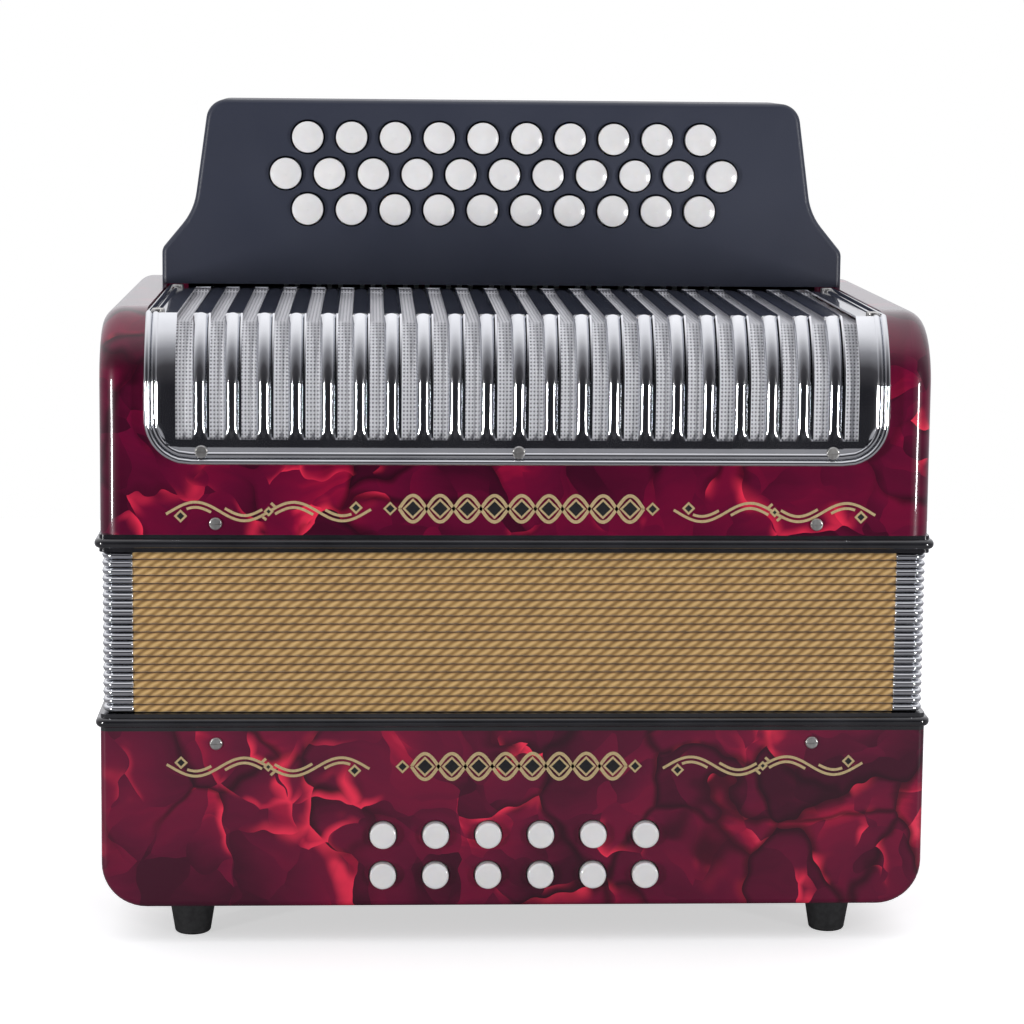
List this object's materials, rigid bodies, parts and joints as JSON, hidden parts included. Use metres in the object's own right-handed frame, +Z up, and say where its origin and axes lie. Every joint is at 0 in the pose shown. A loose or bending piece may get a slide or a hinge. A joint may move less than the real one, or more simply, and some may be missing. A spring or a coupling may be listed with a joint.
{
  "type": "button accordion",
  "caption": "Diatonic button accordion standing on its bass end: red pearloid casings, chrome grille, gold bellows, black fingerboard and white buttons.",
  "frame": {"origin": "under the middle of the instrument, at the level of the feet that it stands on", "axes": "+X across the instrument, to the right as the grille side is seen; +Y from the grille side to the player's side; +Z up, from the bass end to the treble end"},
  "size_m": [0.3166, 0.196, 0.3173],
  "materials": {
    "pearloid": "glossy deep red celluloid with pearl flakes",
    "black_gloss": "black gloss lacquer",
    "fingerboard_black": "fine matt black",
    "grille_chrome": "polished stamped sheet",
    "grille_mesh": "white woven mesh",
    "bellows_cloth": "gold twisted-cord bellows cloth",
    "bellows_corner": "polished corner pieces",
    "key_white": "polished off-white",
    "button_white": "polished off-white",
    "chrome_button": "polished",
    "small_metal": "nickel-plated",
    "lever_metal": "satin",
    "pallet_wood": "bare wood with leather pad",
    "reed_wood": "bare maple",
    "foot_rubber": "matt",
    "strap_leather": "black grained leather",
    "decor_gold": "printed line ornament"
  },
  "bodies": {
    "bass_end": {"bass_casing": "pearloid", "bass_end_cover": "pearloid", "bass_reed_assembly": "reed_wood", "bass_bellows_frame": "black_gloss", "rubber_feet": "foot_rubber", "hand_strap": "strap_leather", "bass_hardware": "small_metal", "bellows": "bellows_cloth"},
    "treble_end": {"treble_casing": "pearloid", "treble_grille": "grille_chrome", "grille_cloth": "grille_mesh", "fingerboard": "fingerboard_black", "treble_action_board": "reed_wood", "treble_reed_blocks": "reed_wood", "treble_bellows_frame": "black_gloss", "treble_hardware": "small_metal"},
    "treble_key_lower_01": {"treble_key_lower_01": "key_white"},
    "treble_key_lower_02": {"treble_key_lower_02": "key_white"},
    "treble_key_lower_03": {"treble_key_lower_03": "key_white"},
    "treble_key_lower_04": {"treble_key_lower_04": "key_white"},
    "treble_key_lower_05": {"treble_key_lower_05": "key_white"},
    "treble_key_lower_06": {"treble_key_lower_06": "key_white"},
    "treble_key_lower_07": {"treble_key_lower_07": "key_white"},
    "treble_key_lower_08": {"treble_key_lower_08": "key_white"},
    "treble_key_lower_09": {"treble_key_lower_09": "key_white"},
    "treble_key_lower_10": {"treble_key_lower_10": "key_white"},
    "treble_key_middle_01": {"treble_key_middle_01": "key_white"},
    "treble_key_middle_02": {"treble_key_middle_02": "key_white"},
    "treble_key_middle_03": {"treble_key_middle_03": "key_white"},
    "treble_key_middle_04": {"treble_key_middle_04": "key_white"},
    "treble_key_middle_05": {"treble_key_middle_05": "key_white"},
    "treble_key_middle_06": {"treble_key_middle_06": "key_white"},
    "treble_key_middle_07": {"treble_key_middle_07": "key_white"},
    "treble_key_middle_08": {"treble_key_middle_08": "key_white"},
    "treble_key_middle_09": {"treble_key_middle_09": "key_white"},
    "treble_key_middle_10": {"treble_key_middle_10": "key_white"},
    "treble_key_middle_11": {"treble_key_middle_11": "key_white"},
    "treble_key_upper_01": {"treble_key_upper_01": "key_white"},
    "treble_key_upper_02": {"treble_key_upper_02": "key_white"},
    "treble_key_upper_03": {"treble_key_upper_03": "key_white"},
    "treble_key_upper_04": {"treble_key_upper_04": "key_white"},
    "treble_key_upper_05": {"treble_key_upper_05": "key_white"},
    "treble_key_upper_06": {"treble_key_upper_06": "key_white"},
    "treble_key_upper_07": {"treble_key_upper_07": "key_white"},
    "treble_key_upper_08": {"treble_key_upper_08": "key_white"},
    "treble_key_upper_09": {"treble_key_upper_09": "key_white"},
    "treble_key_upper_10": {"treble_key_upper_10": "key_white"},
    "bass_button_upper_1": {"bass_button_upper_1": "button_white"},
    "bass_button_upper_2": {"bass_button_upper_2": "button_white"},
    "bass_button_upper_3": {"bass_button_upper_3": "button_white"},
    "bass_button_upper_4": {"bass_button_upper_4": "button_white"},
    "bass_button_upper_5": {"bass_button_upper_5": "button_white"},
    "bass_button_upper_6": {"bass_button_upper_6": "button_white"},
    "bass_button_lower_1": {"bass_button_lower_1": "button_white"},
    "bass_button_lower_2": {"bass_button_lower_2": "button_white"},
    "bass_button_lower_3": {"bass_button_lower_3": "button_white"},
    "bass_button_lower_4": {"bass_button_lower_4": "button_white"},
    "bass_button_lower_5": {"bass_button_lower_5": "button_white"},
    "bass_button_lower_6": {"bass_button_lower_6": "button_white"},
    "air_button": {"air_button": "chrome_button"}
  },
  "joints": [
    {"name": "bellows_slide", "type": "slide", "parent": "bass_end", "child": "treble_end", "axis": [0, 0, 1], "range_m": [0, 0.24], "deforming": ["bellows"]},
    {"name": "treble_key_lower_01_press", "type": "hinge", "parent": "treble_end", "child": "treble_key_lower_01", "pos_m": [0, 0.04805, 0.2105], "axis": [1, 0, 0], "range_deg": [-3.34, 0], "stiffness_Nm_per_rad": 0.2, "springref_deg": 11.46},
    {"name": "treble_key_lower_02_press", "type": "hinge", "parent": "treble_end", "child": "treble_key_lower_02", "pos_m": [0, 0.04805, 0.2105], "axis": [1, 0, 0], "range_deg": [-3.34, 0], "stiffness_Nm_per_rad": 0.2, "springref_deg": 11.46},
    {"name": "treble_key_lower_03_press", "type": "hinge", "parent": "treble_end", "child": "treble_key_lower_03", "pos_m": [0, 0.04805, 0.2105], "axis": [1, 0, 0], "range_deg": [-3.34, 0], "stiffness_Nm_per_rad": 0.2, "springref_deg": 11.46},
    {"name": "treble_key_lower_04_press", "type": "hinge", "parent": "treble_end", "child": "treble_key_lower_04", "pos_m": [0, 0.04805, 0.2105], "axis": [1, 0, 0], "range_deg": [-3.34, 0], "stiffness_Nm_per_rad": 0.2, "springref_deg": 11.46},
    {"name": "treble_key_lower_05_press", "type": "hinge", "parent": "treble_end", "child": "treble_key_lower_05", "pos_m": [0, 0.04805, 0.2105], "axis": [1, 0, 0], "range_deg": [-3.34, 0], "stiffness_Nm_per_rad": 0.2, "springref_deg": 11.46},
    {"name": "treble_key_lower_06_press", "type": "hinge", "parent": "treble_end", "child": "treble_key_lower_06", "pos_m": [0, 0.04805, 0.2105], "axis": [1, 0, 0], "range_deg": [-3.34, 0], "stiffness_Nm_per_rad": 0.2, "springref_deg": 11.46},
    {"name": "treble_key_lower_07_press", "type": "hinge", "parent": "treble_end", "child": "treble_key_lower_07", "pos_m": [0, 0.04805, 0.2105], "axis": [1, 0, 0], "range_deg": [-3.34, 0], "stiffness_Nm_per_rad": 0.2, "springref_deg": 11.46},
    {"name": "treble_key_lower_08_press", "type": "hinge", "parent": "treble_end", "child": "treble_key_lower_08", "pos_m": [0, 0.04805, 0.2105], "axis": [1, 0, 0], "range_deg": [-3.34, 0], "stiffness_Nm_per_rad": 0.2, "springref_deg": 11.46},
    {"name": "treble_key_lower_09_press", "type": "hinge", "parent": "treble_end", "child": "treble_key_lower_09", "pos_m": [0, 0.04805, 0.2105], "axis": [1, 0, 0], "range_deg": [-3.34, 0], "stiffness_Nm_per_rad": 0.2, "springref_deg": 11.46},
    {"name": "treble_key_lower_10_press", "type": "hinge", "parent": "treble_end", "child": "treble_key_lower_10", "pos_m": [0, 0.04805, 0.2105], "axis": [1, 0, 0], "range_deg": [-3.34, 0], "stiffness_Nm_per_rad": 0.2, "springref_deg": 11.46},
    {"name": "treble_key_middle_01_press", "type": "hinge", "parent": "treble_end", "child": "treble_key_middle_01", "pos_m": [0, 0.04805, 0.2105], "axis": [1, 0, 0], "range_deg": [-2.7, 0], "stiffness_Nm_per_rad": 0.2, "springref_deg": 11.46},
    {"name": "treble_key_middle_02_press", "type": "hinge", "parent": "treble_end", "child": "treble_key_middle_02", "pos_m": [0, 0.04805, 0.2105], "axis": [1, 0, 0], "range_deg": [-2.7, 0], "stiffness_Nm_per_rad": 0.2, "springref_deg": 11.46},
    {"name": "treble_key_middle_03_press", "type": "hinge", "parent": "treble_end", "child": "treble_key_middle_03", "pos_m": [0, 0.04805, 0.2105], "axis": [1, 0, 0], "range_deg": [-2.7, 0], "stiffness_Nm_per_rad": 0.2, "springref_deg": 11.46},
    {"name": "treble_key_middle_04_press", "type": "hinge", "parent": "treble_end", "child": "treble_key_middle_04", "pos_m": [0, 0.04805, 0.2105], "axis": [1, 0, 0], "range_deg": [-2.7, 0], "stiffness_Nm_per_rad": 0.2, "springref_deg": 11.46},
    {"name": "treble_key_middle_05_press", "type": "hinge", "parent": "treble_end", "child": "treble_key_middle_05", "pos_m": [0, 0.04805, 0.2105], "axis": [1, 0, 0], "range_deg": [-2.7, 0], "stiffness_Nm_per_rad": 0.2, "springref_deg": 11.46},
    {"name": "treble_key_middle_06_press", "type": "hinge", "parent": "treble_end", "child": "treble_key_middle_06", "pos_m": [0, 0.04805, 0.2105], "axis": [1, 0, 0], "range_deg": [-2.7, 0], "stiffness_Nm_per_rad": 0.2, "springref_deg": 11.46},
    {"name": "treble_key_middle_07_press", "type": "hinge", "parent": "treble_end", "child": "treble_key_middle_07", "pos_m": [0, 0.04805, 0.2105], "axis": [1, 0, 0], "range_deg": [-2.7, 0], "stiffness_Nm_per_rad": 0.2, "springref_deg": 11.46},
    {"name": "treble_key_middle_08_press", "type": "hinge", "parent": "treble_end", "child": "treble_key_middle_08", "pos_m": [0, 0.04805, 0.2105], "axis": [1, 0, 0], "range_deg": [-2.7, 0], "stiffness_Nm_per_rad": 0.2, "springref_deg": 11.46},
    {"name": "treble_key_middle_09_press", "type": "hinge", "parent": "treble_end", "child": "treble_key_middle_09", "pos_m": [0, 0.04805, 0.2105], "axis": [1, 0, 0], "range_deg": [-2.7, 0], "stiffness_Nm_per_rad": 0.2, "springref_deg": 11.46},
    {"name": "treble_key_middle_10_press", "type": "hinge", "parent": "treble_end", "child": "treble_key_middle_10", "pos_m": [0, 0.04805, 0.2105], "axis": [1, 0, 0], "range_deg": [-2.7, 0], "stiffness_Nm_per_rad": 0.2, "springref_deg": 11.46},
    {"name": "treble_key_middle_11_press", "type": "hinge", "parent": "treble_end", "child": "treble_key_middle_11", "pos_m": [0, 0.04805, 0.2105], "axis": [1, 0, 0], "range_deg": [-2.7, 0], "stiffness_Nm_per_rad": 0.2, "springref_deg": 11.46},
    {"name": "treble_key_upper_01_press", "type": "hinge", "parent": "treble_end", "child": "treble_key_upper_01", "pos_m": [0, 0.04805, 0.2105], "axis": [1, 0, 0], "range_deg": [-2.25, 0], "stiffness_Nm_per_rad": 0.2, "springref_deg": 11.46},
    {"name": "treble_key_upper_02_press", "type": "hinge", "parent": "treble_end", "child": "treble_key_upper_02", "pos_m": [0, 0.04805, 0.2105], "axis": [1, 0, 0], "range_deg": [-2.25, 0], "stiffness_Nm_per_rad": 0.2, "springref_deg": 11.46},
    {"name": "treble_key_upper_03_press", "type": "hinge", "parent": "treble_end", "child": "treble_key_upper_03", "pos_m": [0, 0.04805, 0.2105], "axis": [1, 0, 0], "range_deg": [-2.25, 0], "stiffness_Nm_per_rad": 0.2, "springref_deg": 11.46},
    {"name": "treble_key_upper_04_press", "type": "hinge", "parent": "treble_end", "child": "treble_key_upper_04", "pos_m": [0, 0.04805, 0.2105], "axis": [1, 0, 0], "range_deg": [-2.25, 0], "stiffness_Nm_per_rad": 0.2, "springref_deg": 11.46},
    {"name": "treble_key_upper_05_press", "type": "hinge", "parent": "treble_end", "child": "treble_key_upper_05", "pos_m": [0, 0.04805, 0.2105], "axis": [1, 0, 0], "range_deg": [-2.25, 0], "stiffness_Nm_per_rad": 0.2, "springref_deg": 11.46},
    {"name": "treble_key_upper_06_press", "type": "hinge", "parent": "treble_end", "child": "treble_key_upper_06", "pos_m": [0, 0.04805, 0.2105], "axis": [1, 0, 0], "range_deg": [-2.25, 0], "stiffness_Nm_per_rad": 0.2, "springref_deg": 11.46},
    {"name": "treble_key_upper_07_press", "type": "hinge", "parent": "treble_end", "child": "treble_key_upper_07", "pos_m": [0, 0.04805, 0.2105], "axis": [1, 0, 0], "range_deg": [-2.25, 0], "stiffness_Nm_per_rad": 0.2, "springref_deg": 11.46},
    {"name": "treble_key_upper_08_press", "type": "hinge", "parent": "treble_end", "child": "treble_key_upper_08", "pos_m": [0, 0.04805, 0.2105], "axis": [1, 0, 0], "range_deg": [-2.25, 0], "stiffness_Nm_per_rad": 0.2, "springref_deg": 11.46},
    {"name": "treble_key_upper_09_press", "type": "hinge", "parent": "treble_end", "child": "treble_key_upper_09", "pos_m": [0, 0.04805, 0.2105], "axis": [1, 0, 0], "range_deg": [-2.25, 0], "stiffness_Nm_per_rad": 0.2, "springref_deg": 11.46},
    {"name": "treble_key_upper_10_press", "type": "hinge", "parent": "treble_end", "child": "treble_key_upper_10", "pos_m": [0, 0.04805, 0.2105], "axis": [1, 0, 0], "range_deg": [-2.25, 0], "stiffness_Nm_per_rad": 0.2, "springref_deg": 11.46},
    {"name": "bass_button_upper_1_press", "type": "slide", "parent": "bass_end", "child": "bass_button_upper_1", "axis": [0, 1, 0], "range_m": [0, 0.0032], "stiffness_N_per_m": 150, "springref_m": -0.004},
    {"name": "bass_button_upper_2_press", "type": "slide", "parent": "bass_end", "child": "bass_button_upper_2", "axis": [0, 1, 0], "range_m": [0, 0.0032], "stiffness_N_per_m": 150, "springref_m": -0.004},
    {"name": "bass_button_upper_3_press", "type": "slide", "parent": "bass_end", "child": "bass_button_upper_3", "axis": [0, 1, 0], "range_m": [0, 0.0032], "stiffness_N_per_m": 150, "springref_m": -0.004},
    {"name": "bass_button_upper_4_press", "type": "slide", "parent": "bass_end", "child": "bass_button_upper_4", "axis": [0, 1, 0], "range_m": [0, 0.0032], "stiffness_N_per_m": 150, "springref_m": -0.004},
    {"name": "bass_button_upper_5_press", "type": "slide", "parent": "bass_end", "child": "bass_button_upper_5", "axis": [0, 1, 0], "range_m": [0, 0.0032], "stiffness_N_per_m": 150, "springref_m": -0.004},
    {"name": "bass_button_upper_6_press", "type": "slide", "parent": "bass_end", "child": "bass_button_upper_6", "axis": [0, 1, 0], "range_m": [0, 0.0032], "stiffness_N_per_m": 150, "springref_m": -0.004},
    {"name": "bass_button_lower_1_press", "type": "slide", "parent": "bass_end", "child": "bass_button_lower_1", "axis": [0, 1, 0], "range_m": [0, 0.0032], "stiffness_N_per_m": 150, "springref_m": -0.004},
    {"name": "bass_button_lower_2_press", "type": "slide", "parent": "bass_end", "child": "bass_button_lower_2", "axis": [0, 1, 0], "range_m": [0, 0.0032], "stiffness_N_per_m": 150, "springref_m": -0.004},
    {"name": "bass_button_lower_3_press", "type": "slide", "parent": "bass_end", "child": "bass_button_lower_3", "axis": [0, 1, 0], "range_m": [0, 0.0032], "stiffness_N_per_m": 150, "springref_m": -0.004},
    {"name": "bass_button_lower_4_press", "type": "slide", "parent": "bass_end", "child": "bass_button_lower_4", "axis": [0, 1, 0], "range_m": [0, 0.0032], "stiffness_N_per_m": 150, "springref_m": -0.004},
    {"name": "bass_button_lower_5_press", "type": "slide", "parent": "bass_end", "child": "bass_button_lower_5", "axis": [0, 1, 0], "range_m": [0, 0.0032], "stiffness_N_per_m": 150, "springref_m": -0.004},
    {"name": "bass_button_lower_6_press", "type": "slide", "parent": "bass_end", "child": "bass_button_lower_6", "axis": [0, 1, 0], "range_m": [0, 0.0032], "stiffness_N_per_m": 150, "springref_m": -0.004},
    {"name": "air_button_press", "type": "slide", "parent": "bass_end", "child": "air_button", "axis": [0, -1, 0], "range_m": [0, 0.003], "stiffness_N_per_m": 150, "springref_m": -0.004}
  ]
}
